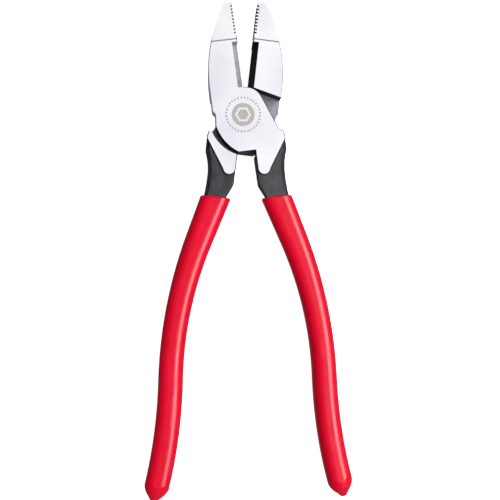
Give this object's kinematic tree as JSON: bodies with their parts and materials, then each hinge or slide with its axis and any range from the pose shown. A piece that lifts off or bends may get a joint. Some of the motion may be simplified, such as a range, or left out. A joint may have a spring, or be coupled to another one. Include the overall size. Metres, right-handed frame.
{
  "type": "lineman pliers",
  "caption": "Heavy side-cutting pliers with a flush riveted lap joint, serrated blunt jaws, ground knives and dipped red vinyl grips.",
  "frame": {"origin": "on the rivet's axis, in the plane of the flat back face that the tool lies on", "axes": "+X to the right and +Y towards the jaw tips seen from the front, +Z out of the front face along the rivet's axis"},
  "size_m": [0.1002, 0.2375, 0.016],
  "materials": {
    "forged_steel": "ground and polished head, black oxide tangs",
    "rivet_steel": "ground flush and polished",
    "red_vinyl": "glossy dipped vinyl"
  },
  "bodies": {
    "front": {"front_half": "forged_steel", "rivet": "rivet_steel", "front_grip": "red_vinyl"},
    "rear": {"rear_half": "forged_steel", "rear_grip": "red_vinyl"}
  },
  "joints": [
    {"name": "pivot", "type": "hinge", "parent": "front", "child": "rear", "pos_m": [0, 0, 0], "axis": [0, 0, -1], "range_deg": [-14, 36]}
  ]
}
